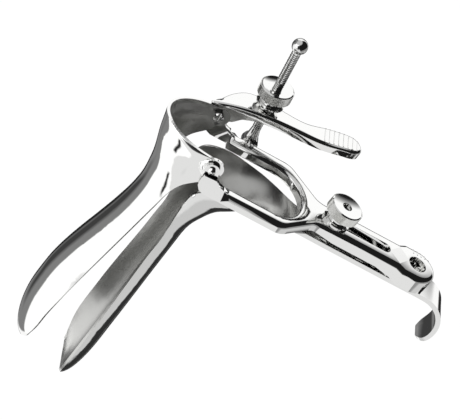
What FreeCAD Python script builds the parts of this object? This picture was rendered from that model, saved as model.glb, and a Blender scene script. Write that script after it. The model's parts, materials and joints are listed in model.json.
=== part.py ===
import FreeCAD, Part
import math
import os
from FreeCAD import Placement, Rotation, Vector

# Bivalve speculum, large size, drawn in millimetres.
#
# It is drawn about the hinge that joins the upper blade to the yoke: the hinge axis is Y, the blades
# point to -X, the handle hangs to -Z, +X is the examiner's side and +Y is the side of the thumb lever.
# Every finished piece then gets one Placement, which leans the instrument onto the tip of its lower
# blade and the end of its finger hook, the way it stands on a table.

SIZES = {
    # Sheet steel and the clearance between pieces that move past each other.
    "blade_sheet": 1.3,
    "running_gap": 0.3,
    "pin_gap": 0.06,
    "seat_gap": 0.05,
    "tip_reach": 26.0,
    # Ring of the upper blade: half an ellipse standing on the hinge axis.
    "ring_half_width": 18.3,
    "ring_height": 26.0,
    "rim_front": 4.5,
    "ear_radius": 4.9,
    # Upper blade, opened by ten degrees as drawn.
    "upper_length": 138.0,
    "upper_waist_at": 36.0,
    "upper_waist_half_width": 15.0,
    "upper_waist_edge": 9.6,
    "upper_waist_crown": 7.4,
    "upper_wide_at": 104.0,
    "upper_wide_half_width": 17.6,
    "upper_wide_edge": 18.6,
    "upper_wide_crown": 9.0,
    "upper_bill_edge": 19.2,
    "upper_tip_edge": 18.4,
    # Lower blade, its bend down into the handle, and the strip of the handle.
    "lower_length": 148.0,
    "lower_waist_at": 52.0,
    "lower_waist_half_width": 14.0,
    "lower_wide_at": 106.0,
    "lower_wide_half_width": 17.0,
    "lower_floor": 12.2,
    "lower_edge": 2.6,
    "lower_tip_edge": 5.6,
    "bend_radius": 28.0,
    "side_half_width": 16.4,
    "side_depth": 20.6,
    "strip_width": 14.0,
    "strip_thickness": 2.2,
    "strip_front": 15.3,
    "strip_end": 116.5,
    # Finger hook at the end of the strip.
    "hook_radius": 13.0,
    "hook_sweep": 128.0,
    # Yoke: channel section, two arms, a slotted bar and a pad with a hole.
    "yoke_front": 6.7,
    "yoke_sheet": 1.6,
    "yoke_rounding": 2.1,
    "shoulder_rounding": 9.0,
    "neck_rounding": 7.0,
    "yoke_half_width": 21.4,
    "arm_width": 6.4,
    "arm_depth": 4.8,
    "arm_top": 10.6,
    "arm_end": 40.5,
    "flange_ramp": 11.0,
    "bar_half_width": 7.4,
    "bar_depth": 6.2,
    "bar_start": 56.0,
    "bar_end": 97.0,
    "pad_half_width": 9.3,
    "pad_depth": 8.3,
    "pad_centre": 106.5,
    "pad_hole_diameter": 8.6,
    "pad_slope": 1.6,
    "crotch_depth": 48.0,
    "crotch_roundness": 0.95,
    "slot_width": 5.6,
    "slot_top": 61.6,
    "slot_bottom": 92.6,
    "lug_thickness": 2.8,
    "lug_pin_thickness": 1.2,
    "lug_radius": 3.3,
    "lug_flange": 0.9,
    "lug_notch_depth": 8.0,
    "lug_seam": 3.0,
    # Boss on the far arm for the rod's screw.
    "boss_diameter": 4.6,
    "boss_length": 4.0,
    # Hinge screws.
    "hinge_screw_diameter": 3.0,
    "hinge_head_diameter": 4.6,
    "hinge_head_height": 1.0,
    "hinge_screw_end": 1.4,
    "head_gap": 0.2,
    # Thumb lever.
    "lever_sheet": 1.4,
    "lever_rounding": 1.3,
    "lever_root_front": 6.3,
    "lever_top": 6.2,
    "lever_knee_front": 12.0,
    "lever_knee_at": 27.0,
    "lever_length": 61.5,
    "lever_end_front": 14.6,
    "lever_root_width": 12.6,
    "lever_waist_width": 8.6,
    "lever_waist_at": 36.0,
    "lever_pad_width": 11.0,
    "lever_pad_at": 53.0,
    "lever_flange": 4.2,
    "lever_hole_at": 22.0,
    "lever_hole_length": 7.4,
    "lever_hole_width": 5.2,
    # Threaded rod that holds the opening angle.
    "rod_diameter": 3.8,
    "rod_length": 55.4,
    "rod_angle": 8.4,
    "rod_side": 24.0,
    "rod_pivot_back": 9.0,
    "rod_pivot_down": 19.9,
    "rod_eye_diameter": 7.4,
    "rod_eye_thickness": 4.6,
    "rod_neck_length": 6.5,
    "rod_pin_diameter": 3.2,
    "pin_length": 3.7,
    "pin_head_step": 1.4,
    "pin_head_height": 1.2,
    "blind_gap": 0.4,
    "ball_diameter": 7.0,
    # Knurled nuts.
    "nut_diameter": 15.4,
    "nut_height": 5.2,
    "nut_neck_diameter": 9.4,
    "nut_neck_height": 3.2,
    "washer_diameter": 12.6,
    "washer_thickness": 1.1,
    "cup_radius": 9.0,
    "cup_height": 2.9,
    "cup_clearance": 0.25,
    # Height screw, fast in the strip, and its nut.
    "stud_diameter": 4.4,
    "stud_height": 7.4,
    "stud_collar": 2.4,
    "guide_clearance": 0.3,
}

HANDLE_LEAN = 1.5
STATIONS_ACROSS = 11
# The outline of a blade's tip turns through this angle, and its section loses this share of its rise.
TIP_ARC = 50.0
TIP_LOSS = 0.86
# The strip's section fades from the bend's to flat at this many degrees of bend for each millimetre.
FADE = 1.75
# Bow left in a section that is flat, and the width of the finger hook towards its end.
FLAT = 0.05
HOOK_END_WIDTHS = [(0.0, 1.0), (0.78, 1.0), (0.86, 0.96), (0.93, 0.80), (1.0, 0.45)]

doc = FreeCAD.newDocument("speculum")
sheet = doc.addObject("Spreadsheet::Sheet", "sizes")
for row, (name, value) in enumerate(SIZES.items(), start=1):
    sheet.set("A%d" % row, name)
    sheet.set("B%d" % row, str(value))
    sheet.setAlias("B%d" % row, name)
doc.recompute()


def size(name):
    """The value of a named cell."""
    return float(getattr(sheet, name))


def smooth(table, at):
    """A smooth curve through (position, value) rows that never swings past its rows."""
    rows = sorted(table)
    if at <= rows[0][0]:
        return rows[0][1]
    if at >= rows[-1][0]:
        return rows[-1][1]
    steps = [(b[1] - a[1]) / (b[0] - a[0]) for a, b in zip(rows, rows[1:])]
    slopes = [steps[0]]
    for before, after in zip(steps, steps[1:]):
        slopes.append(0.0 if before * after <= 0 else 2 * before * after / (before + after))
    slopes.append(steps[-1])
    for i, (a, b) in enumerate(zip(rows, rows[1:])):
        if at <= b[0]:
            span = b[0] - a[0]
            t = (at - a[0]) / span
            return (
                a[1] * (1 + 2 * t) * (1 - t) ** 2
                + b[1] * t * t * (3 - 2 * t)
                + slopes[i] * span * t * (1 - t) ** 2
                - slopes[i + 1] * span * t * t * (1 - t)
            )


def arc_section(half_width, rise):
    """(across, height) from edge to edge of a bowed section: height is 0 at the edges, rise at the crown."""
    spread = min(math.radians(89.0), 2 * math.atan(rise / half_width))
    points = []
    for i in range(STATIONS_ACROSS):
        turn = spread * (2.0 * i / (STATIONS_ACROSS - 1) - 1.0)
        across = half_width * math.sin(turn) / math.sin(spread)
        height = rise * (math.cos(turn) - math.cos(spread)) / (1 - math.cos(spread))
        points.append((across, height))
    return points


def sheet_solid(rows, thicknesses):
    """A closed solid of sheet metal: a skin through rows of points, and a second skin inside it."""
    last_row = len(rows) - 1
    last_column = len(rows[0]) - 1
    inner = []
    for i, row in enumerate(rows):
        line = []
        for j, point in enumerate(row):
            along = rows[min(i + 1, last_row)][j] - rows[max(i - 1, 0)][j]
            across = row[min(j + 1, last_column)] - row[max(j - 1, 0)]
            normal = along.cross(across)
            normal.normalize()
            line.append(point + normal * thicknesses[i])
        inner.append(line)
    skins = []
    for grid in (rows, inner):
        surface = Part.BSplineSurface()
        surface.interpolate(grid)
        skins.append(surface)
    bounds = []
    for surface in skins:
        u0, u1, v0, v1 = surface.bounds()
        bounds.append(
            [surface.uIso(u0), surface.uIso(u1), surface.vIso(v0), surface.vIso(v1)]
        )
    faces = [surface.toShape() for surface in skins]
    for outer_edge, inner_edge in zip(*bounds):
        faces.append(outer_edge.makeRuledSurface(inner_edge).toShape())
    shell = Part.Shell(faces)
    shell.sewShape()
    solid = Part.Solid(shell)
    if solid.Volume < 0:
        solid.reverse()
    return solid


def bill_rows(centre_at, half_width, rise, place):
    """The rounded end of a blade: rows that bow forward until the last one is the outline of the tip."""
    rows = []
    for part in (0.25, 0.5, 0.75, 1.0):
        turn = math.radians(TIP_ARC) * part
        width = half_width * math.cos(turn)
        points = []
        for across, height in arc_section(width, rise(part)):
            reach = math.sqrt(max(0.0, 1 - (across / half_width) ** 2)) - math.sin(turn)
            points.append(place(centre_at, math.sin(turn) + reach * part ** 2, across, height))
        rows.append(points)
    return rows


def box_between(x0, x1, y0, y1, z0, z1):
    return Part.makeBox(x1 - x0, y1 - y0, z1 - z0, Vector(x0, y0, z0))


def rod_along(radius, start, end):
    return Part.makeCylinder(radius, (end - start).Length, start, end - start)


def plate(points, thickness, start):
    """A flat plate with an outline in the XZ plane, from y = start to y = start + thickness."""
    corners = [Vector(x, start, z) for x, z in points]
    face = Part.Face(Part.makePolygon(corners + [corners[0]]))
    return face.extrude(Vector(0, thickness, 0))


def add_feature(name, shape):
    feature = doc.addObject("Part::Feature", name)
    feature.Label = name
    feature.Shape = shape
    return feature


# Upper blade: ring, waist and bill.
def upper_blade_shape():
    rim = size("rim_front")
    length = size("upper_length")
    waist = size("upper_waist_at")
    wide = size("upper_wide_at")
    tip_reach = size("tip_reach")
    centre = length - tip_reach
    ring_half = size("ring_half_width")
    ring_height = size("ring_height")
    waist_edge = size("upper_waist_edge")
    wide_edge = size("upper_wide_edge")
    bill_edge = size("upper_bill_edge")
    widths = [
        (-rim, ring_half),
        (8.0, ring_half * 0.992),
        (17.0, ring_half * 0.955),
        (waist * 0.72, size("upper_waist_half_width") * 1.06),
        (waist + 4, size("upper_waist_half_width")),
        (wide, size("upper_wide_half_width")),
        (centre, size("upper_wide_half_width")),
    ]
    edges = [
        (-rim, 0.0),
        (7.5, 0.0),
        (11.5, waist_edge * 0.36),
        (15.5, waist_edge * 0.66),
        (21.0, waist_edge * 0.84),
        (waist, waist_edge),
        (wide, wide_edge),
        (centre, bill_edge),
    ]
    crowns = [
        (-rim, ring_height),
        (8.0, ring_height * 0.875),
        (20.0, ring_height * 0.735),
        (waist, waist_edge + size("upper_waist_crown")),
        (wide, wide_edge + size("upper_wide_crown")),
        (centre, wide_edge + size("upper_wide_crown")),
    ]
    rows = []
    stations = 20
    for i in range(stations):
        at = -rim + (centre + rim) * i / (stations - 1)
        edge = smooth(edges, at)
        rise = smooth(crowns, at) - edge
        section = arc_section(smooth(widths, at), rise)
        rows.append([Vector(-at, across, edge + height) for across, height in section])
    full_rise = wide_edge + size("upper_wide_crown") - bill_edge

    def place(start, reach, across, height):
        drop = (bill_edge - size("upper_tip_edge")) * reach ** 2
        return Vector(-start - tip_reach * reach, across, bill_edge - drop + height)

    def rise(part):
        return full_rise * (1 - TIP_LOSS * part ** 2)

    rows += bill_rows(centre, size("upper_wide_half_width"), rise, place)
    shell = sheet_solid(rows, [size("blade_sheet")] * len(rows))
    wall = ring_half - size("blade_sheet")
    pieces = [shell]
    for side in (-1, 1):
        inner = Vector(0, side * wall, 0)
        outer = Vector(0, side * ring_half, 0)
        pieces.append(rod_along(size("ear_radius"), inner, outer))
    body = pieces[0].multiFuse(pieces[1:])
    hole = size("hinge_screw_diameter") / 2 + size("pin_gap")
    return body.cut(rod_along(hole, Vector(0, -30, 0), Vector(0, 30, 0))).removeSplitter()


def lean(x, y, z):
    """A point of the handle: the handle leans back a little about the hinge axis."""
    turn = math.radians(HANDLE_LEAN)
    return Vector(x * math.cos(turn) + z * math.sin(turn), y, z * math.cos(turn) - x * math.sin(turn))


def leaned(shape):
    return shape.rotated(Vector(0, 0, 0), Vector(0, 1, 0), HANDLE_LEAN)


# Lower blade: bill, bend, handle strip and finger hook in one sheet.
def lower_blade_shape():
    floor = size("lower_floor")
    depth = floor - size("lower_edge")
    radius = size("bend_radius")
    back = size("strip_front") + size("strip_thickness")
    length = size("lower_length")
    tip_reach = size("tip_reach")
    centre = length - tip_reach
    half_strip = size("strip_width") / 2
    wide_half = size("lower_wide_half_width")
    waist_half = size("lower_waist_half_width")
    side_half = size("side_half_width")
    side_depth = size("side_depth")
    # The back of the strip meets the bend where the bend has turned through a right angle and the lean.
    turn_end = 90.0 + HANDLE_LEAN
    bend_z = -floor - radius
    bend_x = -(back / math.cos(math.radians(HANDLE_LEAN))) + bend_z * math.tan(
        math.radians(HANDLE_LEAN)
    ) - radius / math.cos(math.radians(HANDLE_LEAN))
    centre_of_bend = Vector(bend_x, 0, bend_z)
    rows = []
    walls = []

    def place(start, reach, across, height):
        edge = -size("lower_edge") - (size("lower_tip_edge") - size("lower_edge")) * reach ** 2
        return Vector(-start - tip_reach * reach, across, edge - height)

    def rise(part):
        return depth * (1 - TIP_LOSS * part ** 2)

    bill = bill_rows(centre, wide_half, rise, place)
    bill.reverse()
    rows += bill
    walls += [size("blade_sheet")] * len(bill)
    widths = [
        (-bend_x - 2, waist_half),
        (size("lower_waist_at") + 6, waist_half),
        (size("lower_wide_at"), wide_half),
        (centre, wide_half),
    ]
    straight = 8
    for i in range(straight):
        at = centre + (-bend_x - centre) * i / straight
        section = arc_section(smooth(widths, at), depth)
        rows.append([Vector(-at, across, -floor + depth - height) for across, height in section])
        walls.append(size("blade_sheet"))
    bend_widths = [
        (0, waist_half),
        (20, waist_half + (side_half - waist_half) * 0.55),
        (36, side_half),
        (47, side_half),
        (60, side_half * 0.93),
        (72, side_half * 0.82),
        (82, side_half * 0.70),
        (92, half_strip + (side_half - half_strip) * 0.30),
        (106, half_strip + (side_half - half_strip) * 0.06),
        (112, half_strip),
    ]
    bend_depths = [
        (0, depth),
        (10, depth + (side_depth - depth) * 0.11),
        (20, depth + (side_depth - depth) * 0.36),
        (30, depth + (side_depth - depth) * 0.74),
        (37, side_depth),
        (41, side_depth * 0.99),
        (46, side_depth * 0.87),
        (52, side_depth * 0.72),
        (60, side_depth * 0.51),
        (70, side_depth * 0.32),
        (80, side_depth * 0.19),
        (92, side_depth * 0.09),
        (112, FLAT),
    ]
    turns = 16
    for i in range(turns + 1):
        turn = turn_end * i / turns
        ray = Vector(math.sin(math.radians(turn)), 0, math.cos(math.radians(turn)))
        foot = centre_of_bend + ray * radius
        wall_depth = smooth(bend_depths, turn)
        section = arc_section(smooth(bend_widths, turn), wall_depth)
        rows.append([foot + ray * (wall_depth - h) + Vector(0, a, 0) for a, h in section])
        walls.append(smooth([(40, size("blade_sheet")), (100, size("strip_thickness"))], turn))
    down = Vector(-math.sin(math.radians(HANDLE_LEAN)), 0, -math.cos(math.radians(HANDLE_LEAN)))
    ray = Vector(math.cos(math.radians(HANDLE_LEAN)), 0, -math.sin(math.radians(HANDLE_LEAN)))
    bend_end = centre_of_bend + ray * radius
    strip_foot = lean(-back, 0, -size("strip_end"))
    strip_length = (strip_foot - bend_end).Length
    strip_rows = 7
    for i in range(1, strip_rows + 1):
        reach = strip_length * i / strip_rows
        turn = turn_end + reach * FADE
        wall_depth = smooth(bend_depths, turn)
        section = arc_section(smooth(bend_widths, turn), wall_depth)
        foot = bend_end + down * reach
        rows.append([foot + ray * (wall_depth - h) + Vector(0, a, 0) for a, h in section])
        walls.append(size("strip_thickness"))
    # The finger hook carries the strip on round its own centre, and its end is rounded off.
    hook_centre = strip_foot - ray * size("hook_radius")
    hook_steps = 10
    for i in range(1, hook_steps + 1):
        turn = math.radians(HANDLE_LEAN + size("hook_sweep") * i / hook_steps)
        ray = Vector(math.cos(turn), 0, -math.sin(turn))
        foot = hook_centre + ray * size("hook_radius")
        width = half_strip * smooth(HOOK_END_WIDTHS, i / hook_steps)
        rows.append([foot + ray * (FLAT - h) + Vector(0, a, 0) for a, h in arc_section(width, FLAT)])
        walls.append(size("strip_thickness"))
    blade = sheet_solid(rows, walls)
    stud_at = -(size("slot_top") + size("slot_width") / 2)
    hole = rod_along(size("stud_diameter") / 2, lean(-back - 5, 0, stud_at), lean(0, 0, stud_at))
    return blade.cut(hole)


# Yoke: one pressed channel that holds the hinge and slides along the strip.
def edges_along_x(shape, y, z, reach):
    """The edges parallel to X within reach of (y, z), on either side of the middle."""
    found = []
    for edge in shape.Edges:
        middle = edge.CenterOfMass
        ends = [v.Point for v in edge.Vertexes]
        if len(ends) == 2 and abs(ends[0].y - ends[1].y) < 1e-6 and abs(ends[0].z - ends[1].z) < 1e-6:
            if math.hypot(abs(middle.y) - y, middle.z - z) < reach:
                found.append(edge)
    return found


def yoke_block(inset, x_front, x_back):
    """The front outline of the yoke as a block, drawn in by inset on every side."""
    half = size("yoke_half_width") - inset
    bar = size("bar_half_width") - inset
    pad = size("pad_half_width") - inset
    top = -size("arm_top") - inset
    shoulder = -size("arm_end")
    neck = -size("bar_start") + inset * 0.6
    pad_start = -size("bar_end") - inset * 0.4
    pad_middle = -size("pad_centre")
    side = [
        (half, top),
        (half, shoulder),
        (bar, neck),
        (bar, pad_start),
        (pad, pad_start - (size("pad_half_width") - size("bar_half_width")) * size("pad_slope")),
        (pad, pad_middle),
    ]
    points = [Vector(x_front, y, z) for y, z in side]
    mirrored = [Vector(x_front, -y, z) for y, z in reversed(side)]
    arc = Part.Arc(points[-1], Vector(x_front, 0, pad_middle - pad), mirrored[0]).toShape()
    edges = [Part.makeLine(a, b) for a, b in zip(points, points[1:])]
    edges.append(arc)
    edges += [Part.makeLine(a, b) for a, b in zip(mirrored, mirrored[1:])]
    edges.append(Part.makeLine(mirrored[-1], points[0]))
    block = Part.Face(Part.Wire(edges)).extrude(Vector(x_back - x_front, 0, 0))
    block = block.makeFillet(size("shoulder_rounding") - inset * 0.6, edges_along_x(block, half, shoulder, 0.5))
    block = block.makeFillet(size("neck_rounding") + inset * 0.6, edges_along_x(block, bar, neck, 0.5))
    # The opening between the arms: straight sides and half an ellipse at the bottom.
    inner = size("yoke_half_width") - size("arm_width") + inset
    bottom = -size("crotch_depth") - inset
    centre = bottom + inner * size("crotch_roundness")
    opening = box_between(x_back - 1, x_front + 1, -inner, inner, centre, top + 20)
    ellipse = Part.Ellipse(Vector(x_back - 1, 0, centre), inner, centre - bottom).toShape()
    oval = Part.Face(Part.Wire([ellipse]))
    oval.rotate(Vector(x_back - 1, 0, centre), Vector(0, 1, 0), 90)
    oval.rotate(Vector(x_back - 1, 0, centre), Vector(1, 0, 0), 90)
    opening = opening.fuse(oval.extrude(Vector(x_front - x_back + 2, 0, 0)))
    return block.cut(opening)


def yoke_shape():
    front = -size("yoke_front")
    deepest = front - size("pad_depth")
    wall = size("yoke_sheet")
    block = yoke_block(0.0, front, deepest)
    rounding = size("yoke_rounding")
    face = [f for f in block.Faces if abs(f.CenterOfMass.x - front) < 1e-6][0]
    block = block.makeFillet(rounding, [e for e in block.Edges if any(e.isSame(w) for w in face.Edges)])
    pocket = yoke_block(wall, front - wall, deepest - 1)
    channel = block.cut(pocket)
    # The flanges are shallow along the arms, deeper along the bar and deepest round the pad.
    arm_back = front - size("arm_depth")
    bar_back = front - size("bar_depth")
    profile = [
        (front + 1, 0),
        (arm_back, 0),
        (arm_back, -size("bar_start")),
        (bar_back, -size("bar_start") - size("flange_ramp")),
        (bar_back, -size("bar_end") + 8),
        (deepest, -size("bar_end") - 3),
        (deepest, -size("pad_centre") - size("pad_half_width") - 1),
        (front + 1, -size("pad_centre") - size("pad_half_width") - 1),
    ]
    keep = plate(profile, 2 * size("yoke_half_width") + 4, -size("yoke_half_width") - 2)
    channel = channel.common(keep)
    # Slot for the height screw, with round ends, and the hole in the pad.
    half_slot = size("slot_width") / 2
    slot = box_between(
        deepest, 0, -half_slot, half_slot, -size("slot_bottom") + half_slot, -size("slot_top") - half_slot
    )
    for end in (-size("slot_bottom") + half_slot, -size("slot_top") - half_slot):
        slot = slot.fuse(rod_along(half_slot, Vector(deepest, 0, end), Vector(0, 0, end)))
    pad_hole = rod_along(
        size("pad_hole_diameter") / 2,
        Vector(deepest - 1, 0, -size("pad_centre")),
        Vector(0, 0, -size("pad_centre")),
    )
    collar = rod_along(
        size("pad_hole_diameter") / 2 + wall,
        Vector(deepest + 0.6, 0, -size("pad_centre")),
        Vector(front - 0.2, 0, -size("pad_centre")),
    )
    channel = channel.fuse(collar.common(keep)).cut(slot.fuse(pad_hole))
    yoke = leaned(channel)
    # Lugs: the outer flange runs on upwards, and its inner layer reaches forward round the hinge.
    lug_in = size("ring_half_width") + size("running_gap")
    back = -size("yoke_front") - size("arm_depth")
    lug = [
        (back - 0.25, -size("arm_top") - size("lug_seam")),
        (back - 0.05, -2.2),
        (back + 0.9, 0.1),
        (back + 3.2, 1.9),
        (back + 6.6, 2.2),
        (back + 8.8, 1.8),
        (back + 9.0, -4.0),
        (back + 7.2, -6.0),
        (back + 6.2, -9.0),
        (back + 4.6, -size("arm_top") - 1.0),
        (back + 3.6, -size("arm_top") - size("lug_seam")),
    ]
    hole = size("hinge_screw_diameter") / 2
    for side in (-1, 1):
        inner = side * lug_in
        outer = side * (lug_in + size("lug_thickness"))
        low, high = min(inner, outer), max(inner, outer)
        thick = plate(lug, high - low, low)
        pin_outer = side * (lug_in + size("lug_pin_thickness"))
        thin = rod_along(size("lug_radius"), Vector(0, inner, 0), Vector(0, pin_outer, 0))
        low, high = min(inner, pin_outer), max(inner, pin_outer)
        radius = size("lug_radius")
        bridge = plate([(0, radius), (-4, 2.0), (-5, -5.0), (0, -radius)], high - low, low)
        # The two layers of the lug stand apart, with a slot between them that opens upwards.
        flange_in = side * (lug_in + size("lug_thickness") - size("lug_flange"))
        slot_low, slot_high = min(pin_outer, flange_in), max(pin_outer, flange_in)
        notch = box_between(back + size("lug_flange"), 1, slot_low, slot_high, -size("lug_notch_depth"), 4.0)
        yoke = yoke.fuse([thick, thin.fuse(bridge)]).cut(notch)
    yoke = yoke.cut(rod_along(hole, Vector(0, -40, 0), Vector(0, 40, 0)))
    rod_pin = Vector(-size("rod_pivot_back"), 0, -size("rod_pivot_down"))
    boss_in = size("yoke_half_width") - size("boss_length")
    boss_start = rod_pin + Vector(0, boss_in, 0)
    boss_end = rod_pin + Vector(0, size("yoke_half_width"), 0)
    yoke = yoke.fuse(rod_along(size("boss_diameter") / 2, boss_start, boss_end))
    pin_hole = rod_along(size("rod_pin_diameter") / 2, boss_start, boss_end + Vector(0, size("boss_length"), 0))
    yoke = yoke.cut(pin_hole)
    return yoke.removeSplitter()


# Thumb lever: a channel with a leaf-shaped face, brazed to the far ear of the upper blade.
def lever_front(extra):
    """The front line of the lever in side view, moved back by extra."""
    knee = -size("lever_knee_at")
    length = -size("lever_length")
    return [
        (size("lever_root_front") - 1.2 - extra, size("lever_top")),
        (size("lever_knee_front") - 0.3 - extra, knee + 3.5),
        (size("lever_knee_front") - extra, knee - 3.0),
        (size("lever_end_front") - 1.4 - extra, length * 0.77),
        (size("lever_end_front") + 0.8 - extra, length * 0.93),
        (size("lever_end_front") + 0.9 - extra, length - 1.0),
    ]


def lever_leaf(inset, x_back, x_front):
    """The face of the lever as a block: straight on the side of the ring, leaf-shaped outside."""
    near = size("ring_half_width") - size("blade_sheet") + inset
    root = size("lever_root_width") - inset * 2
    waist = size("lever_waist_width") - inset * 2
    pad = size("lever_pad_width") - inset * 2
    length = size("lever_length") - inset
    outline = [
        (near + root * 0.25, 3.0 - inset),
        (near + root * 0.80, -3.5),
        (near + root * 0.98, -9.0),
        (near + root * 0.93, -14.5),
        (near + waist, -(size("lever_waist_at") - 7)),
        (near + waist, -size("lever_waist_at")),
        (near + pad, -(size("lever_pad_at") - 8)),
        (near + pad, -size("lever_pad_at")),
        (near + pad * 0.80, -length + 2.0),
        (near + pad * 0.35, -length),
        (near + 0.4, -length + 3.0),
    ]
    curve = Part.BSplineCurve()
    curve.interpolate([Vector(x_back, y, z) for y, z in outline])
    first, last = outline[0], outline[-1]
    corners = [
        Vector(x_back, last[0], last[1]),
        Vector(x_back, near, last[1] + 1.5),
        Vector(x_back, near, size("lever_top") - inset),
        Vector(x_back, first[0] - root * 0.12, size("lever_top") - inset),
        Vector(x_back, first[0], first[1]),
    ]
    edges = [curve.toShape()] + [Part.makeLine(a, b) for a, b in zip(corners, corners[1:])]
    return Part.Face(Part.Wire(edges)).extrude(Vector(x_front - x_back, 0, 0))


def lever_slab(front_extra, back_extra, low, high):
    """The lever's thickness in side view as a block: a smooth front line and the same line further back."""
    lines = []
    for extra in (front_extra, back_extra):
        line = Part.BSplineCurve()
        line.interpolate([Vector(x, low, z) for x, z in lever_front(extra)])
        lines.append(line)
    front, back = lines
    top = Part.makeLine(back.StartPoint, front.StartPoint)
    foot = Part.makeLine(front.EndPoint, back.EndPoint)
    side = Part.Face(Part.Wire([top, front.toShape(), foot, back.toShape()]))
    return side.extrude(Vector(0, high - low, 0))


def lever_shape():
    sheet_thickness = size("lever_sheet")
    flange = size("lever_flange")
    near = size("ring_half_width") - size("blade_sheet")
    far = near + size("lever_root_width") + 4
    body = lever_leaf(0.0, -10, 30).common(lever_slab(0.0, flange, near - 1, far))
    # The edges between the face and the sides are rounded, as pressed sheet is.
    curved = [face for face in body.Faces if face.Surface.TypeId != "Part::GeomPlane"]
    front = max(curved, key=lambda face: face.CenterOfMass.x)
    edges = []
    for edge in front.Edges:
        if edge.Length > size("lever_length") / 2 or edge.CenterOfMass.z < -size("lever_pad_at"):
            edges.append(edge)
    body = body.makeFillet(size("lever_rounding"), edges)
    hollow = lever_leaf(sheet_thickness, -10, 30).common(
        lever_slab(sheet_thickness, flange + 8, near - 1, far)
    )
    body = body.cut(hollow)
    root = lever_front(0.0)[0]
    low = -size("ear_radius")
    side_plate = plate(
        [
            (size("rim_front"), root[1]),
            root,
            (size("lever_root_front") + 2.6, -13.0),
            (size("lever_root_front") + 1.2, -17.0),
            (size("lever_root_front") - 2.2, low - 4.2),
            (size("lever_root_front") - 5.8, low - 1.2),
            (0, low),
            (0, 0),
            (size("rim_front"), 0),
        ],
        size("blade_sheet"),
        near,
    )
    lever = body.fuse(side_plate)
    ear = rod_along(size("ear_radius"), Vector(0, near - 2, 0), Vector(0, near + 2 + size("blade_sheet"), 0))
    rim = box_between(-20, size("rim_front"), near - 2, near + 3, -1, 10)
    lever = lever.cut(ear.fuse(rim))
    # The rod passes through a hole that is longer in the lever's own direction.
    pivot = rod_pivot()
    direction = rod_direction()
    middle = pivot + direction * size("lever_hole_at")
    half_gap = (size("lever_hole_length") - size("lever_hole_width")) / 2
    across = Vector(-direction.z, 0, direction.x)
    radius = size("lever_hole_width") / 2
    slots = []
    for shift in (-half_gap, 0, half_gap):
        through = direction * (size("lever_flange") + size("lever_sheet"))
        slots.append(rod_along(radius, middle + across * shift - through, middle + across * shift + through))
    return lever.cut(slots[0].fuse(slots[1:])).removeSplitter()


def rod_pivot():
    return Vector(-size("rod_pivot_back"), size("rod_side"), -size("rod_pivot_down"))


def rod_direction():
    turn = math.radians(size("rod_angle"))
    return Vector(math.cos(turn), 0, math.sin(turn))


# Turned pieces: each is drawn up its own Z axis from primitives whose sizes follow the sheet.
def turned(name, steps, bores=()):
    """steps and bores are (diameter, start, height) rows of expressions on the sheet's cells."""

    def solid(kind, number, step):
        diameter, start, height = step
        item = doc.addObject("Part::Cylinder", "%s_%s_%d" % (name, kind, number))
        item.setExpression("Radius", "(%s) / 2" % bind(diameter))
        item.setExpression("Height", bind(height))
        item.setExpression("Placement.Base.z", bind(start))
        return item

    body = doc.addObject("Part::MultiFuse", name + "_body")
    body.Shapes = [solid("step", i, step) for i, step in enumerate(steps)]
    if len(steps) == 1:
        doc.removeObject(body.Name)
        body = doc.getObject("%s_step_0" % name)
    for i, bore in enumerate(bores):
        cut = doc.addObject("Part::Cut", "%s_cut_%d" % (name, i))
        cut.Base = body
        cut.Tool = solid("bore", i, bore)
        body = cut
    body.Label = name
    return body


def bind(expression):
    """Puts the sheet's name before each alias in an expression."""
    words = []
    for word in expression.split():
        words.append("sizes." + word if word in SIZES else word)
    return " ".join(words)


def seat(point, direction):
    """The Placement that stands a turned piece's Z axis on a point, along a direction."""
    return Placement(point, Rotation(Vector(0, 0, 1), direction))


upper_blade = add_feature("upper_blade", upper_blade_shape())
lower_blade = add_feature("lower_blade", lower_blade_shape())
yoke = add_feature("yoke", yoke_shape())
lever = add_feature("thumb_lever", lever_shape())

NUT_STEPS = [
    ("nut_neck_diameter", "0", "nut_neck_height + 0.4"),
    ("nut_diameter", "nut_neck_height", "nut_height"),
]
ROD_BORE = ("rod_diameter + 2 * pin_gap", "-1", "nut_neck_height + nut_height + 2")
angle_nut = turned("angle_nut", NUT_STEPS, [ROD_BORE])
cup_ball = doc.addObject("Part::Sphere", "cup_ball")
cup_ball.setExpression("Radius", "sizes.cup_radius")
cup_ball.setExpression(
    "Placement.Base.z", "sqrt(sizes.cup_radius ^ 2 - (sizes.lever_hole_width / 2) ^ 2) + 0.03"
)
cup_disc = turned(
    "cup_disc",
    [("washer_diameter", "0 - 1", "cup_height + 1")],
    [("rod_diameter + 2 * pin_gap", "0 - 2", "cup_height + 4")],
)
angle_washer = doc.addObject("Part::Common", "angle_washer_body")
angle_washer.Base = cup_ball
angle_washer.Tool = cup_disc
angle_washer.Label = "angle_washer"
STUD_BORE = ("stud_diameter + 2 * pin_gap", "-1", "nut_neck_height + nut_height + 2")
height_nut = turned("height_nut", NUT_STEPS, [STUD_BORE])
height_washer = turned(
    "height_washer",
    [("washer_diameter", "0", "washer_thickness")],
    [("stud_diameter + 2 * pin_gap", "-1", "washer_thickness + 2")],
)
height_stud = turned(
    "height_stud",
    [
        ("stud_diameter", "0", "strip_thickness + strip_front + stud_height - yoke_front"),
        ("slot_width + stud_collar", "strip_thickness", "strip_front - yoke_front - yoke_sheet - guide_clearance"),
    ],
)
screw_steps = [
    ("hinge_head_diameter", "0", "hinge_head_height"),
    (
        "hinge_screw_diameter",
        "hinge_head_height",
        "blade_sheet + running_gap + lug_pin_thickness + hinge_screw_end",
    ),
]
near_screw = turned("near_hinge_screw", screw_steps)
far_screw = turned("far_hinge_screw", screw_steps)
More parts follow.
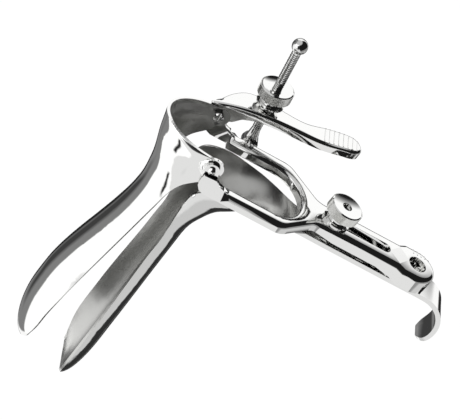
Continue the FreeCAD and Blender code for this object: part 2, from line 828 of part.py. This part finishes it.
rod_screw = turned(
    "rod_pivot_screw",
    [
        ("rod_pin_diameter", "0", "pin_length + rod_eye_thickness"),
        ("rod_eye_diameter - pin_head_step", "pin_length + rod_eye_thickness", "pin_head_height"),
    ],
)
rod_ball = doc.addObject("Part::Sphere", "ball")
rod_ball.setExpression("Radius", "sizes.ball_diameter / 2")
rod_ball.Label = "rod_ball"


def angle_rod_shape():
    """Eye at the origin with its hole along Y, and the shank along X to the centre of the ball."""
    thickness = size("rod_eye_thickness")
    eye = rod_along(size("rod_eye_diameter") / 2, Vector(0, -thickness / 2, 0), Vector(0, thickness / 2, 0))
    wide, narrow = size("rod_eye_diameter") / 2 * 0.8, size("rod_diameter") / 2
    neck = Part.makeCone(wide, narrow, size("rod_neck_length"), Vector(1.5, 0, 0), Vector(1, 0, 0))
    neck = neck.common(box_between(0, 20, -thickness / 2, thickness / 2, -10, 10))
    shank = rod_along(size("rod_diameter") / 2, Vector(3, 0, 0), Vector(size("rod_length"), 0, 0))
    hole = size("rod_pin_diameter") / 2 + size("pin_gap")
    rod = eye.fuse([neck, shank]).cut(rod_along(hole, Vector(0, -10, 0), Vector(0, 10, 0)))
    ball = Part.makeSphere(size("ball_diameter") / 2, Vector(size("rod_length"), 0, 0))
    return rod.cut(ball).removeSplitter()


def cup_seat(cup, lever_solid):
    """How far along the rod the cup washer rests on the lever, with its clearance."""
    near, far = size("lever_hole_at") - 6.0, size("lever_hole_at") + 6.0
    for _ in range(12):
        middle = (near + far) / 2
        placed = cup.copy()
        placed.Placement = seat(rod_pivot() + rod_direction() * middle, rod_direction())
        if placed.distToShape(lever_solid)[0] < size("cup_clearance"):
            near = middle
        else:
            far = middle
    return far


angle_rod = add_feature("angle_rod", angle_rod_shape())
doc.recompute()

# Where each turned piece is seated.
ball_at = rod_pivot() + rod_direction() * size("rod_length")
cup_at = cup_seat(angle_washer.Shape, lever.Shape)
nut_at = cup_at + size("cup_height") + size("seat_gap")
ear_inside = size("ring_half_width") - size("blade_sheet")
screw_start = ear_inside - size("hinge_head_height") - size("head_gap")
stud_z = -(size("slot_top") + size("slot_width") / 2)
strip_back = -(size("strip_front") + size("strip_thickness"))
handle_normal = lean(1, 0, 0)
on_bar = lean(-size("yoke_front"), 0, stud_z)
seats = {
    upper_blade: Placement(),
    lower_blade: Placement(),
    yoke: Placement(),
    lever: Placement(),
    angle_rod: Placement(rod_pivot(), Rotation(Vector(1, 0, 0), rod_direction())),
    rod_ball: Placement(ball_at, Rotation()),
    angle_washer: seat(rod_pivot() + rod_direction() * cup_at, rod_direction()),
    angle_nut: seat(rod_pivot() + rod_direction() * nut_at, rod_direction()),
    rod_screw: seat(
        Vector(-size("rod_pivot_back"), size("yoke_half_width") - size("pin_length") + size("blind_gap"), -size("rod_pivot_down")),
        Vector(0, 1, 0),
    ),
    near_screw: seat(Vector(0, -screw_start, 0), Vector(0, -1, 0)),
    far_screw: seat(Vector(0, screw_start, 0), Vector(0, 1, 0)),
    height_stud: seat(lean(strip_back, 0, stud_z), handle_normal),
    height_washer: seat(on_bar, handle_normal),
    height_nut: seat(on_bar + handle_normal * (size("washer_thickness") + size("seat_gap")), handle_normal),
}

# The instrument leans on its lower tip and on the end of its finger hook, both at floor level.
def split(shape):
    """The lower blade cut into its upper half with the bill, and its lower half with the hook."""
    middle = -size("strip_end") * 0.7
    return [
        shape.common(box_between(-300, 300, -100, 100, middle, 300)),
        shape.common(box_between(-300, 300, -100, 100, -300, middle)),
    ]


def lowest(shape, angle):
    return shape.rotated(Vector(0, 0, 0), Vector(0, 1, 0), -angle).BoundBox.ZMin


bill_half, hook_half = split(lower_blade.Shape)
low, high = 30.0, 75.0
for _ in range(14):
    middle = (low + high) / 2
    if lowest(bill_half, middle) > lowest(hook_half, middle):
        low = middle
    else:
        high = middle
stand_angle = (low + high) / 2
stand = Placement(Vector(0, 0, 0), Rotation(Vector(0, 1, 0), -stand_angle))

os.makedirs("parts", exist_ok=True)
for item in doc.Objects:
    if "Invalid" in item.State or "Error" in item.State:
        raise RuntimeError("%s did not build: %s" % (item.Label, item.State))
for piece, place in seats.items():
    piece.Placement = stand.multiply(place)
doc.recompute()
whole = Part.makeCompound([piece.Shape for piece in seats]).BoundBox
shift = Vector(-whole.Center.x, -whole.Center.y, -whole.ZMin)
for piece in seats:
    piece.Placement = Placement(shift, Rotation()).multiply(piece.Placement)
doc.recompute()
for piece in seats:
    shape = piece.Shape
    if shape.isNull() or not shape.isValid():
        raise RuntimeError("%s has no valid shape" % piece.Label)
    if len(shape.Solids) != 1:
        raise RuntimeError("%s is not one solid" % piece.Label)
    print(piece.Label, round(shape.Volume, 1), shape.BoundBox)
    shape.exportStep("parts/%s.step" % piece.Label)
print("stand angle", stand_angle)
print("hinge midpoint", shift)
print("nut on the rod at", nut_at)
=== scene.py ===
"""A bivalve speculum in polished steel, standing on the tip of its lower blade and its finger hook."""
import json
import math

import bmesh
import bpy
from mathutils import Matrix, Quaternion, Vector
from mathutils.bvhtree import BVHTree
from mathutils.geometry import intersect_point_line


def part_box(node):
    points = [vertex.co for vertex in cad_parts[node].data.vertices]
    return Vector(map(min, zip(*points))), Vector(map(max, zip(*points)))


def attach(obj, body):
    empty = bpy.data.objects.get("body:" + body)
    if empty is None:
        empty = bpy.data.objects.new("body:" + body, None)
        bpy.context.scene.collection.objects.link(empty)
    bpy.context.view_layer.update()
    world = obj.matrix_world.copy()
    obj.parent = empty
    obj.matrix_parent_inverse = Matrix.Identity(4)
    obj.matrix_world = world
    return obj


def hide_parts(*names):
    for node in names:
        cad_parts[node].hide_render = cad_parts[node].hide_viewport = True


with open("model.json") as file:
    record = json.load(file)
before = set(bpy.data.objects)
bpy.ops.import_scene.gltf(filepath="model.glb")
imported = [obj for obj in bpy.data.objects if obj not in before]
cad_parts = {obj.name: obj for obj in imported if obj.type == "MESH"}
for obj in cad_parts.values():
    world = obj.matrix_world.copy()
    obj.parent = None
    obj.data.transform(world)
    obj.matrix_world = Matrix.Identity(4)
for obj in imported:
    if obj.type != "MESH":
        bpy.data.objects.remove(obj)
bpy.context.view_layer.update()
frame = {"nodes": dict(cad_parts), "record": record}

MM = 0.001

# Where the photograph was taken from: distances in metres, the lens in millimetres, angles in degrees.
CAMERA_AIM = Vector((0.01587, -0.02276, 0.0934))
CAMERA_DISTANCE = 1.3
CAMERA_AZIMUTH = 12.545
CAMERA_ELEVATION = 38.0
CAMERA_ROLL = -13.33
CAMERA_LENS = 243.56
CAMERA_SENSOR = 36.0
CAMERA_CLIP = (0.01, 50.0)

# The room that the steel reflects, by the direction seen: azimuth in degrees from +Y towards +X, elevation
# in degrees, the width of the soft edge in degrees, and brightness. Each panel covers the ones before it.
ROOM = [
    # azimuth from, to, elevation from, to, edge, brightness
    (-200, 200, -100, 100, 1, 0.50),
    (-200, 200, 52, 100, 16, 0.60),
    (-200, -88, 14, 56, 12, 1.45),
    (-92, -12, 24, 60, 18, 0.22),
    (-200, -118, -60, 8, 6, 0.80),
    (-124, -14, -56, -33, 4, 1.00),
    (-124, -73, -36, 28, 3, 1.10),
    (-73, -14, -33, 30, 3, 0.22),
    (-53, -34, -17, 34, 9, 0.05),
    (-14, 42, -42, 50, 5, 1.05),
    (-32, 27, -62, 6, 4, 0.02),
    (42, 200, -36, 48, 7, 0.012),
    (-200, -150, -8, 44, 10, 0.04),
    (-200, 200, -100, -57, 8, 0.62),
    (-76, 52, -82, -56, 6, 0.03),
    (56, 200, -57, -35, 8, 0.30),
]
# A dark upright that leans across the white wall: azimuth at the horizon, lean, half width and elevations.
UPRIGHT = (-121.0, -0.72, 3.6, -36.0, -9.0, 0.03)
# The floor, in metres, how much of what the camera sees of it is plain white, and how bright that is.
FLOOR_HALF = 3.0
FLOOR_GLOW = 0.96
FLOOR_WHITE = 1.04
FLOOR_COLOUR = (0.9, 0.9, 0.9, 1.0)
WHITE = (1, 1, 1, 1)
# The lamp that gives the floor its shadow, in metres and watts.
LAMP_PLACE = (-0.5, -0.9, 1.2)
LAMP_AIM = (0, 0, 0.08)
LAMP_SIZE = (0.8, 0.48)
LAMP_POWER = 8.0

# The turned pieces, in metres. Their outer sizes are those of the solids.
ROD_RADIUS = 1.9 * MM
ROD_LENGTH = 55.4 * MM
BALL_RADIUS = 3.5 * MM
THREAD_START = 8.0 * MM
THREAD_PITCH = 0.95 * MM
THREAD_DEPTH = 0.26 * MM
THREAD_SUNK = 0.08 * MM
THREAD_CORNERS = 4
THREAD_STEPS = 20
STUD_RADIUS = 2.2 * MM
NUT_RADIUS = 7.7 * MM
NUT_HEIGHT = 5.2 * MM
NUT_NECK_RADIUS = 4.7 * MM
NUT_NECK_HEIGHT = 3.2 * MM
NUT_CHAMFER = 0.45 * MM
# What each nut turns on, and how deep its face is dished.
NUTS = {"angle_nut": (ROD_RADIUS, 0.66 * MM), "height_nut": (STUD_RADIUS, 0.38 * MM)}
BORE_GAP = 0.06 * MM
DISH_RINGS = 6
TURNED_SEGMENTS = 96
KNURLS = 100
KNURL_SIZE = 0.27 * MM
KNURL_GAP = 0.03 * MM

# The slot of the far hinge screw, in metres, and its turn in degrees.
SLOT_WIDTH = 0.8 * MM
SLOT_DEPTH = 0.7 * MM
SLOT_LENGTH = 20 * MM
SLOT_TURN = 35.0

# Grip ridges: how many, from and to up the handle, and from and to across it, in millimetres.
LEVER_RIDGES = (8, -44.4, -58.6, 13.8, 24.5)
PAD_RIDGES = (6, -104.3, -113.9, 1.2, 9.0)
RIDGE_RADIUS = 0.34 * MM
RIDGE_SUNK = 0.15 * MM
RIDGE_CORNERS = 8
RIDGE_STEPS = 16
# A ridge is looked for from this far in front of the hinge, in millimetres, and ends where the face is
# this steep.
RIDGE_SEARCH = 60
RIDGE_STEEPEST = 0.25

# The line that the inside faces of each blade look at, in millimetres towards the examiner and up the handle
# from the hinge, and how much a face's normal leans towards it.
INSIDE_LINES = {
    "upper_blade": ((0, -2), (-122, 2)),
    "lower_blade": ((-152, 27), (-100, 25), (-47, 20), (-4, 2), (13, -40), (13, -75)),
}
INSIDE_LEAN = 0.22
# The inside ends this far down the handle from the hinge, in metres.
INSIDE_END = 62 * MM

# Corners of the solids' triangles that are this near are one corner, in metres.
JOIN_WITHIN = 1e-6
# Edges sharper than this stay sharp, in degrees: on the solids, on ridges and on the thread.
SOLID_EDGE = 28.0
RIDGE_EDGE = 50.0
THREAD_EDGE = 70.0

RECORD = frame["record"]
JOINTS = {joint["name"]: joint for joint in RECORD["behaviour"]["joints"]}
BODY_OF = {node: body for body, nodes in RECORD["behaviour"]["bodies"].items() for node in nodes}
SLOT_OF = {row["node"]: row["material_slot"] for row in RECORD["subparts"]}
HINGE = Vector(JOINTS["blade_pivot"]["pos_m"])
FRONT = Vector(JOINTS["height_nut_spin"]["axis"]).normalized()
UP = Vector(JOINTS["yoke_lift"]["axis"]).normalized()


class Socket:
    """A shader value that Python's own signs work on: each sign adds one Math node."""

    def __init__(self, tree, socket):
        self.tree = tree
        self.socket = socket

    def maths(self, operation, first, second=None):
        node = self.tree.nodes.new("ShaderNodeMath")
        node.operation = operation
        for slot, value in zip(node.inputs, (first, second)):
            if isinstance(value, Socket):
                self.tree.links.new(value.socket, slot)
            elif value is not None:
                slot.default_value = value
        return Socket(self.tree, node.outputs[0])

    def __add__(self, other):
        return self.maths("ADD", self, other)

    def __mul__(self, other):
        return self.maths("MULTIPLY", self, other)

    def __sub__(self, other):
        return self.maths("SUBTRACT", self, other)

    def __rsub__(self, other):
        return self.maths("SUBTRACT", other, self)

    def __truediv__(self, other):
        return self.maths("DIVIDE", self, other)

    def clamped(self):
        return self.maths("MINIMUM", self.maths("MAXIMUM", self, 0.0), 1.0)


class Finish:
    """A material's or the world's node tree, with one way to add any node."""

    def __init__(self, owner):
        owner.use_nodes = True
        self.tree = owner.node_tree
        self.tree.nodes.clear()

    def add(self, kind, settings=(), values=()):
        node = self.tree.nodes.new(kind)
        for name, value in dict(settings).items():
            setattr(node, name, value)
        for name, value in dict(values).items():
            if isinstance(value, Socket):
                self.tree.links.new(value.socket, node.inputs[name])
            else:
                node.inputs[name].default_value = value
        return node

    def out(self, node, name=0):
        return Socket(self.tree, node.outputs[name])

    def wear(self, scale, detail=4.0):
        """Noise over the object's own coordinates."""
        place = self.add("ShaderNodeTexCoord")
        noise = self.add(
            "ShaderNodeTexNoise", {}, {"Vector": self.out(place, "Object"), "Scale": scale, "Detail": detail}
        )
        return self.out(noise, "Fac")


# Steel finishes: polished outside, and satin on the faces that are marked as the inside of a blade.
INSIDE_COLOUR = (0.62, 0.62, 0.605)
INSIDE_ROUGHNESS = 0.30
INSIDE_SMEAR = (0.06, 0.05)
GRAIN_SCALE = 900.0
SMEAR_SCALE = 60.0


def steel(name, colour, roughness, smear):
    material = bpy.data.materials.new(name)
    finish = Finish(material)
    grain = finish.wear(GRAIN_SCALE) - 0.5
    soft = finish.wear(SMEAR_SCALE) - 0.5
    mark = finish.add("ShaderNodeAttribute", {"attribute_name": "inside"})
    inside = finish.out(mark, "Fac")
    wiped = soft * smear + grain * (smear * 0.5) + roughness
    brushed = soft * INSIDE_SMEAR[0] + grain * INSIDE_SMEAR[1] + INSIDE_ROUGHNESS
    rough = (1.0 - inside) * wiped + inside * brushed
    # A colour Mix node has its two colours at inputs 6 and 7, and its result at output 2.
    shade = finish.add("ShaderNodeMix", {"data_type": "RGBA"}, {0: inside})
    shade.inputs[6].default_value = (*colour, 1.0)
    shade.inputs[7].default_value = (*INSIDE_COLOUR, 1.0)
    metal = finish.add(
        "ShaderNodeBsdfPrincipled",
        {},
        {"Base Color": finish.out(shade, 2), "Metallic": 1.0, "Roughness": rough.clamped()},
    )
    end = finish.add("ShaderNodeOutputMaterial")
    finish.tree.links.new(metal.outputs[0], end.inputs["Surface"])
    return material


MATERIALS = {
    "polished_steel": steel("polished_steel", (0.93, 0.93, 0.92), 0.05, 0.03),
    "satin_steel": steel("satin_steel", (0.90, 0.90, 0.89), 0.07, 0.04),
    "plated_steel": steel("plated_steel", (0.84, 0.84, 0.83), 0.07, 0.04),
    "thread_steel": steel("thread_steel", (0.30, 0.30, 0.29), 0.34, 0.04),
    "knurled_steel": steel("knurled_steel", (0.78, 0.78, 0.76), 0.26, 0.06),
}


# The CAD solids, with their triangles joined so that curved sheet reflects smoothly.
def smoothed(mesh, angle=SOLID_EDGE):
    for face in mesh.polygons:
        face.use_smooth = True
    mesh.set_sharp_from_angle(angle=math.radians(angle))


def new_piece(name, mesh, material, body, replaced=()):
    piece = bpy.data.objects.new(name, mesh)
    bpy.context.scene.collection.objects.link(piece)
    mesh.materials.clear()
    mesh.materials.append(MATERIALS[material])
    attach(piece, body)
    if replaced:
        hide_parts(*replaced)
    return piece


def along_handle(forward, up):
    """A point beside the hinge, in millimetres towards the examiner and up the handle."""
    return HINGE + (FRONT * forward + UP * up) * MM


def nearest_on(spine, place):
    """The point of a line of straight runs that is nearest to a place."""
    points = []
    for start, end in zip(spine, spine[1:]):
        _, share = intersect_point_line(place, start, end)
        points.append(start.lerp(end, min(1.0, max(0.0, share))))
    return min(points, key=lambda point: (point - place).length)


def mark_inside(mesh, line):
    """Marks the faces that look towards a blade's middle line, which keep their satin finish."""
    marks = mesh.attributes.new("inside", "FLOAT", "FACE")
    spine = [along_handle(forward, up) for forward, up in line]
    values = []
    for face in mesh.polygons:
        towards = (nearest_on(spine, face.center) - face.center).normalized()
        on_strip = (face.center - HINGE).dot(UP) < -INSIDE_END
        values.append(0.0 if on_strip or face.normal.dot(towards) < INSIDE_LEAN else 1.0)
    marks.data.foreach_set("value", values)


def finished_copy(node):
    work = bmesh.new()
    work.from_mesh(frame["nodes"][node].data)
    bmesh.ops.remove_doubles(work, verts=work.verts, dist=JOIN_WITHIN)
    mesh = bpy.data.meshes.new(node + "_skin")
    work.to_mesh(mesh)
    work.free()
    if node == "far_hinge_screw":
        mesh = slotted(mesh, node)
    smoothed(mesh)
    if node in INSIDE_LINES:
        mark_inside(mesh, INSIDE_LINES[node])
    return new_piece(node + "_skin", mesh, SLOT_OF[node], BODY_OF[node], [node])


# Turned pieces.
def turned_mesh(name, profile):
    """A bored solid of revolution about Z through (radius, height) points, which run round its section."""
    work = bmesh.new()
    turn = [2 * math.pi * i / TURNED_SEGMENTS for i in range(TURNED_SEGMENTS)]
    rings = [
        [work.verts.new((radius * math.cos(t), radius * math.sin(t), height)) for t in turn]
        for radius, height in profile
    ]
    for low, high in zip(rings, rings[1:] + rings[:1]):
        for i in range(TURNED_SEGMENTS):
            after = (i + 1) % TURNED_SEGMENTS
            work.faces.new((low[i], low[after], high[after], high[i]))
    bmesh.ops.recalc_face_normals(work, faces=work.faces)
    mesh = bpy.data.meshes.new(name)
    work.to_mesh(mesh)
    work.free()
    return mesh


def stood_on(point, axis):
    """The matrix that stands a piece's Z axis on a point, along an axis."""
    return Matrix.Translation(point) @ Vector(axis).to_track_quat("Z", "Y").to_matrix().to_4x4()


class Tree:
    """A geometry node tree that is built in the script, run once and kept as a plain mesh."""

    def __init__(self, name, sizes, start=None):
        self.tree = bpy.data.node_groups.new(name, "GeometryNodeTree")
        self.start = start or bpy.data.meshes.new("holder")
        self.tree.interface.new_socket("Geometry", in_out="INPUT", socket_type="NodeSocketGeometry")
        self.tree.interface.new_socket("Geometry", in_out="OUTPUT", socket_type="NodeSocketGeometry")
        self.values = {}
        for label, value in sizes.items():
            kind = "NodeSocketInt" if isinstance(value, int) else "NodeSocketFloat"
            item = self.tree.interface.new_socket(label, in_out="INPUT", socket_type=kind)
            self.values[item.identifier] = value
        self.source = self.tree.nodes.new("NodeGroupInput")
        self.end = self.tree.nodes.new("NodeGroupOutput")

    def size(self, label):
        return self.source.outputs[label]

    def add(self, kind, settings=(), links=()):
        node = self.tree.nodes.new(kind)
        for name, value in dict(settings).items():
            setattr(node, name, value)
        for name, value in dict(links).items():
            if isinstance(value, bpy.types.NodeSocket):
                self.tree.links.new(value, node.inputs[name])
            else:
                node.inputs[name].default_value = value
        return node

    def maths(self, operation, first, second):
        node = self.add("ShaderNodeMath", {"operation": operation}, {0: first, 1: second})
        return node.outputs[0]

    def finish(self, geometry, material):
        real = self.add("GeometryNodeRealizeInstances", {}, {"Geometry": geometry})
        painted = self.add("GeometryNodeSetMaterial", {}, {"Geometry": real.outputs[0]})
        painted.inputs["Material"].default_value = MATERIALS[material]
        self.tree.links.new(painted.outputs[0], self.end.inputs[0])
        holder = bpy.data.objects.new("holder", self.start)
        bpy.context.scene.collection.objects.link(holder)
        modifier = holder.modifiers.new("tree", "NODES")
        modifier.node_group = self.tree
        for identifier, value in self.values.items():
            modifier[identifier] = value
        bpy.context.view_layer.update()
        result = holder.evaluated_get(bpy.context.evaluated_depsgraph_get())
        mesh = bpy.data.meshes.new_from_object(result)
        bpy.data.objects.remove(holder)
        return mesh


def swept(tree, line, corners, radius):
    """A line of a tree, swept with a round section of so many corners."""
    section = tree.add("GeometryNodeCurvePrimitiveCircle", {}, {"Resolution": corners, "Radius": radius})
    sweep = tree.add(
        "GeometryNodeCurveToMesh",
        {},
        {"Curve": line, "Profile Curve": section.outputs[0], "Fill Caps": True},
    )
    return sweep.outputs[0]


def thread_mesh(name, radius, length, pitch, depth):
    """A screw thread up Z from 0: a helix swept with a small four-cornered section."""
    tree = Tree(name, {"Radius": radius, "Length": length, "Pitch": pitch, "Depth": depth})
    turns = tree.maths("DIVIDE", tree.size("Length"), tree.size("Pitch"))
    helix = tree.add(
        "GeometryNodeCurveSpiral",
        {},
        {
            "Resolution": THREAD_STEPS,
            "Rotations": turns,
            "Start Radius": tree.size("Radius"),
            "End Radius": tree.size("Radius"),
            "Height": tree.size("Length"),
        },
    )
    ridge = swept(tree, helix.outputs[0], THREAD_CORNERS, tree.size("Depth"))
    return tree.finish(ridge, "thread_steel")


def lines_over(node, count, first_up, last_up, near, far):
    """Lines across a piece's front face that follow its surface and its far rounding."""
    shape = frame["nodes"][node].data
    surface = BVHTree.FromPolygons([v.co for v in shape.vertices], [f.vertices for f in shape.polygons])
    points, edges = [], []
    for row in range(count):
        up = first_up + (last_up - first_up) * row / (count - 1)
        before = None
        for step in range(RIDGE_STEPS):
            start = along_handle(RIDGE_SEARCH, up)
            start.y = (near + (far - near) * step / (RIDGE_STEPS - 1)) * MM
            place, normal, _, _ = surface.ray_cast(start, -FRONT)
            if place is None or normal.dot(FRONT) < RIDGE_STEEPEST:
                break
            points.append(place - normal * RIDGE_SUNK)
            if before is not None:
                edges.append((before, len(points) - 1))
            before = len(points) - 1
    mesh = bpy.data.meshes.new(node + "_lines")
    mesh.from_pydata(points, edges, [])
    return mesh


def grip_ridges(node, places):
    name = node + "_ridges"
    tree = Tree(name, {"Radius": RIDGE_RADIUS}, lines_over(node, *places))
    line = tree.add("GeometryNodeMeshToCurve", {}, {"Mesh": tree.size("Geometry")})
    ridge = swept(tree, line.outputs[0], RIDGE_CORNERS, tree.size("Radius"))
    ridges = tree.finish(ridge, SLOT_OF[node])
    smoothed(ridges, RIDGE_EDGE)
    new_piece(name, ridges, SLOT_OF[node], BODY_OF[node])


def slotted(mesh, node):
    """Cuts a screwdriver slot across a hinge screw's end on its low Y side."""
    low, high = (Vector(corner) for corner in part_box(node))
    middle = Vector(((low.x + high.x) / 2, low.y, (low.z + high.z) / 2))
    cutter = bmesh.new()
    bmesh.ops.create_cube(cutter, size=1.0)
    size = Matrix.Diagonal((SLOT_WIDTH, 2 * SLOT_DEPTH, SLOT_LENGTH, 1.0))
    turn = Matrix.Rotation(math.radians(SLOT_TURN), 4, "Y")
    bmesh.ops.transform(cutter, matrix=Matrix.Translation(middle) @ turn @ size, verts=cutter.verts)
    tool_mesh = bpy.data.meshes.new("slot_cutter")
    cutter.to_mesh(tool_mesh)
    cutter.free()
    tool = bpy.data.objects.new("slot_cutter", tool_mesh)
    screw = bpy.data.objects.new("screw_blank", mesh)
    for item in (tool, screw):
        bpy.context.scene.collection.objects.link(item)
    cut = screw.modifiers.new("slot", "BOOLEAN")
    cut.operation = "DIFFERENCE"
    cut.solver = "EXACT"
    cut.object = tool
    bpy.context.view_layer.update()
    result = bpy.data.meshes.new_from_object(screw.evaluated_get(bpy.context.evaluated_depsgraph_get()))
    for item in (tool, screw):
        bpy.data.objects.remove(item)
    return result


def knurl_mesh(name, radius, height, count, width):
    """Straight ridges round a nut, standing on Z = 0."""
    tree = Tree(name, {"Radius": radius, "Height": height, "Count": count, "Width": width})
    ring = tree.add(
        "GeometryNodeMeshCircle", {}, {"Vertices": tree.size("Count"), "Radius": tree.size("Radius")}
    )
    ridge = tree.add(
        "GeometryNodeMeshCylinder",
        {},
        {"Vertices": 4, "Radius": tree.size("Width"), "Depth": tree.size("Height")},
    )
    placed = tree.add(
        "GeometryNodeInstanceOnPoints", {}, {"Points": ring.outputs[0], "Instance": ridge.outputs[0]}
    )
    place = tree.add("GeometryNodeInputPosition")
    facing = tree.add("FunctionNodeAlignRotationToVector", {"axis": "X"}, {"Vector": place.outputs[0]})
    tree.tree.links.new(facing.outputs[0], placed.inputs["Rotation"])
    return tree.finish(placed.outputs[0], "knurled_steel")


def knurled_nut(node, body, foot, axis, bore):
    outer = NUT_RADIUS - KNURL_SIZE - KNURL_GAP
    low = NUT_NECK_HEIGHT
    top = low + NUT_HEIGHT
    profile = [
        (bore, 0.0),
        (NUT_NECK_RADIUS - NUT_CHAMFER * 0.5, 0.0),
        (NUT_NECK_RADIUS, NUT_CHAMFER * 0.5),
        (NUT_NECK_RADIUS, low - NUT_CHAMFER),
        (NUT_NECK_RADIUS + NUT_CHAMFER * 0.6, low),
        (outer - NUT_CHAMFER, low),
        (outer, low + NUT_CHAMFER),
        (outer, top - NUT_CHAMFER),
    ]
    rim = outer - NUT_CHAMFER
    dish = NUTS[node][1]
    for ring in range(DISH_RINGS):
        radius = rim + (bore - rim) * ring / (DISH_RINGS - 1)
        profile.append((radius, top - dish * (1 - (radius / rim) ** 2)))
    mesh = turned_mesh(node + "_turned", profile)
    smoothed(mesh)
    mesh.transform(stood_on(foot, axis))
    new_piece(node + "_turned", mesh, "polished_steel", body, [node])
    knurl = knurl_mesh(node + "_knurl", outer, NUT_HEIGHT - 2 * NUT_CHAMFER, KNURLS, KNURL_SIZE)
    knurl.transform(Matrix.Translation((0, 0, low + NUT_HEIGHT / 2)))
    knurl.transform(stood_on(foot, axis))
    new_piece(node + "_knurl", knurl, "knurled_steel", body)


# Camera, floor and light.
def photo_camera():
    azimuth, elevation = math.radians(CAMERA_AZIMUTH), math.radians(CAMERA_ELEVATION)
    back = Vector(
        (
            math.sin(azimuth) * math.cos(elevation),
            -math.cos(azimuth) * math.cos(elevation),
            math.sin(elevation),
        )
    )
    camera = bpy.data.objects.new("photo_camera", bpy.data.cameras.new("photo_camera"))
    bpy.context.scene.collection.objects.link(camera)
    camera.location = CAMERA_AIM + back * CAMERA_DISTANCE
    camera.rotation_mode = "QUATERNION"
    level = (-back).to_track_quat("-Z", "Y")
    camera.rotation_quaternion = level @ Quaternion((0, 0, 1), math.radians(CAMERA_ROLL))
    camera.data.lens = CAMERA_LENS
    camera.data.sensor_width = CAMERA_SENSOR
    camera.data.clip_start, camera.data.clip_end = CAMERA_CLIP
    bpy.context.scene.camera = camera


def panel(azimuth, elevation, sides, edge):
    """1 inside a stretch of directions, 0 outside it, with soft edges."""
    left, right, low, high = sides
    across = ((azimuth - left) / edge + 0.5).clamped() * ((right - azimuth) / edge + 0.5).clamped()
    upward = ((elevation - low) / edge + 0.5).clamped() * ((high - elevation) / edge + 0.5).clamped()
    return across * upward


def studio():
    """The room: white walls, a dark camera side and a soft ceiling, which the steel picks up as bands."""
    world = bpy.data.worlds.new("studio")
    bpy.context.scene.world = world
    room = Finish(world)
    place = room.add("ShaderNodeTexCoord")
    parts = room.add("ShaderNodeSeparateXYZ", {}, {"Vector": room.out(place, "Generated")})
    across, depth, height = (room.out(parts, axis) for axis in "XYZ")
    azimuth = across.maths("ARCTAN2", across, depth) * math.degrees(1.0)
    elevation = height.maths("ARCSINE", height) * math.degrees(1.0)
    level = 0.0
    for *sides, edge, brightness in ROOM:
        mask = panel(azimuth, elevation, sides, edge)
        level = (1.0 - mask) * level + mask * brightness
    foot, slant, half, low, high, brightness = UPRIGHT
    mask = panel(azimuth - elevation * slant, elevation, (foot - half, foot + half, low, high), half)
    level = (1.0 - mask) * level + mask * brightness
    path = room.add("ShaderNodeLightPath")
    seen = room.out(path, "Is Camera Ray")
    strength = seen + (1.0 - seen) * level
    light = room.add("ShaderNodeBackground", {}, {"Color": WHITE, "Strength": strength})
    end = room.add("ShaderNodeOutputWorld")
    room.tree.links.new(light.outputs[0], end.inputs["Surface"])


def floor():
    """White to the camera, with a faint shadow. The steel looks through it at the room."""
    mesh = bpy.data.meshes.new("floor")
    corners = [(x * FLOOR_HALF, y * FLOOR_HALF, 0) for x, y in ((-1, -1), (1, -1), (1, 1), (-1, 1))]
    mesh.from_pydata(corners, [], [(0, 1, 2, 3)])
    ground = bpy.data.objects.new("floor", mesh)
    bpy.context.scene.collection.objects.link(ground)
    material = bpy.data.materials.new("white_floor")
    paint = Finish(material)
    path = paint.add("ShaderNodeLightPath")
    matt = paint.add("ShaderNodeBsdfDiffuse", {}, {"Color": FLOOR_COLOUR})
    glow = paint.add("ShaderNodeEmission", {}, {"Color": WHITE, "Strength": FLOOR_WHITE})
    clear = paint.add("ShaderNodeBsdfTransparent")
    lit = paint.add("ShaderNodeMixShader", {}, {0: paint.out(path, "Is Camera Ray") * FLOOR_GLOW})
    blend = paint.add("ShaderNodeMixShader", {}, {0: paint.out(path, "Is Glossy Ray")})
    end = paint.add("ShaderNodeOutputMaterial")
    for source, target in (
        (matt.outputs[0], lit.inputs[1]),
        (glow.outputs[0], lit.inputs[2]),
        (lit.outputs[0], blend.inputs[1]),
        (clear.outputs[0], blend.inputs[2]),
        (blend.outputs[0], end.inputs["Surface"]),
    ):
        paint.tree.links.new(source, target)
    mesh.materials.append(material)


def soft_lamp():
    """Lights the floor round the shadow; the steel doesn't mirror it."""
    data = bpy.data.lights.new("key", "AREA")
    data.shape = "RECTANGLE"
    data.size, data.size_y = LAMP_SIZE
    data.energy = LAMP_POWER
    lamp = bpy.data.objects.new("key", data)
    bpy.context.scene.collection.objects.link(lamp)
    lamp.location = LAMP_PLACE
    lamp.visible_glossy = False
    lamp.rotation_mode = "QUATERNION"
    lamp.rotation_quaternion = (Vector(LAMP_AIM) - Vector(LAMP_PLACE)).to_track_quat("-Z", "Y")


def thread_the_rod():
    eye = Vector(JOINTS["rod_pivot"]["pos_m"])
    along = Vector(JOINTS["nut_travel"]["axis"]).normalized()
    length = ROD_LENGTH - BALL_RADIUS - THREAD_START
    thread = thread_mesh("rod_thread", ROD_RADIUS - THREAD_SUNK, length, THREAD_PITCH, THREAD_DEPTH)
    smoothed(thread, THREAD_EDGE)
    thread.transform(stood_on(eye + along * THREAD_START, along))
    new_piece("rod_thread", thread, "thread_steel", BODY_OF["angle_rod"])


def dress():
    for node in frame["nodes"]:
        if node not in NUTS:
            finished_copy(node)
    thread_the_rod()
    grip_ridges("thumb_lever", LEVER_RIDGES)
    grip_ridges("yoke", PAD_RIDGES)
    for node, (radius, _) in NUTS.items():
        spin = JOINTS[node + "_spin"]
        axis = Vector(spin["axis"]).normalized()
        knurled_nut(node, BODY_OF[node], Vector(spin["pos_m"]), axis, radius + BORE_GAP)


photo_camera()
studio()
floor()
soft_lamp()
dress()
bpy.context.scene.view_settings.view_transform = "Standard"
